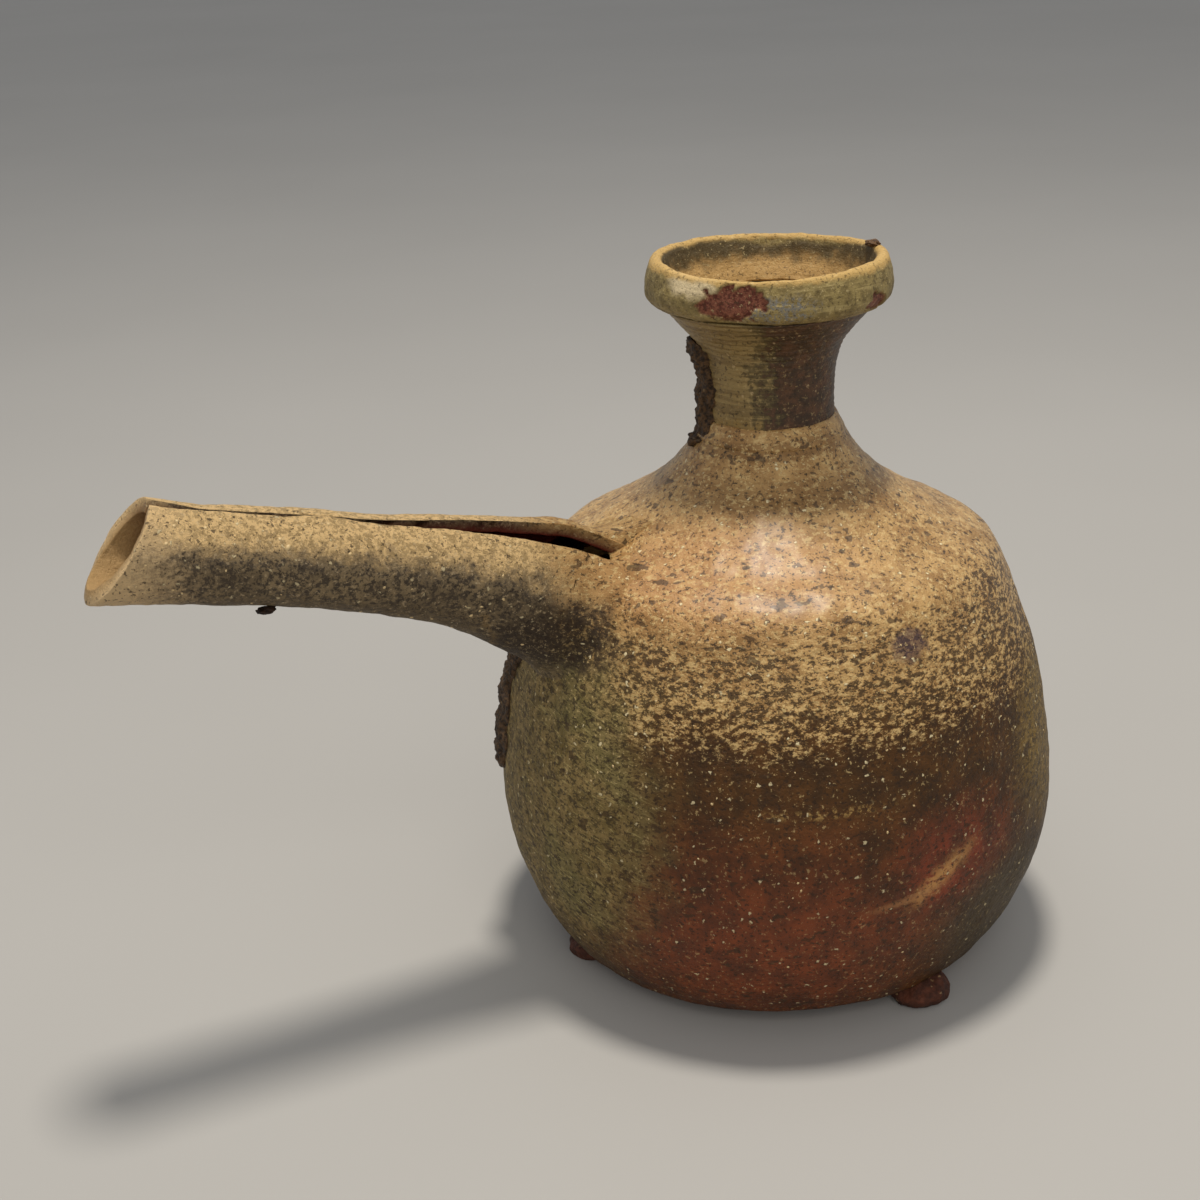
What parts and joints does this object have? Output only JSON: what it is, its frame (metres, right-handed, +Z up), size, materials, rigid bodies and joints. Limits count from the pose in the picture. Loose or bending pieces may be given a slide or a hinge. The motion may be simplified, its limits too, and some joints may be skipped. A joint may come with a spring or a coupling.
{
  "type": "spouted pouring flask",
  "caption": "Wood-fired stoneware pouring flask: bulging belly on pellet feet, narrow neck with a collared mouth, and a long slab-rolled spout with an open seam",
  "frame": {"origin": "On the floor under the middle of the outline, midway between the spout's lip and the far side of the belly; the pot's axis stands at x = +51.25 mm", "axes": "+Z up; the spout points along -X; Y is across the pot"},
  "size_m": [0.252, 0.1496, 0.1906],
  "materials": {
    "body_glaze": "natural wood-ash glaze over iron-bearing stoneware, honey ochre to rust",
    "base_clay": "bare red-brown fired stoneware",
    "rim_clay": "khaki stoneware with thin dry ash",
    "spout_clay": "dry ochre and grey-brown stoneware with feldspar grains",
    "kiln_crust": "rough dark slag and burnt ash"
  },
  "bodies": {
    "root": {"base_slab": "base_clay", "belly_wall": "body_glaze", "neck": "body_glaze", "neck_luting": "body_glaze", "mouth_collar": "rim_clay", "spout_tube": "spout_clay", "spout_luting": "spout_clay", "foot_1": "base_clay", "foot_2": "base_clay", "foot_3": "base_clay", "neck_clinker": "kiln_crust", "belly_clinker": "kiln_crust", "rim_clinker": "kiln_crust", "spout_drip": "kiln_crust"}
  },
  "joints": []
}
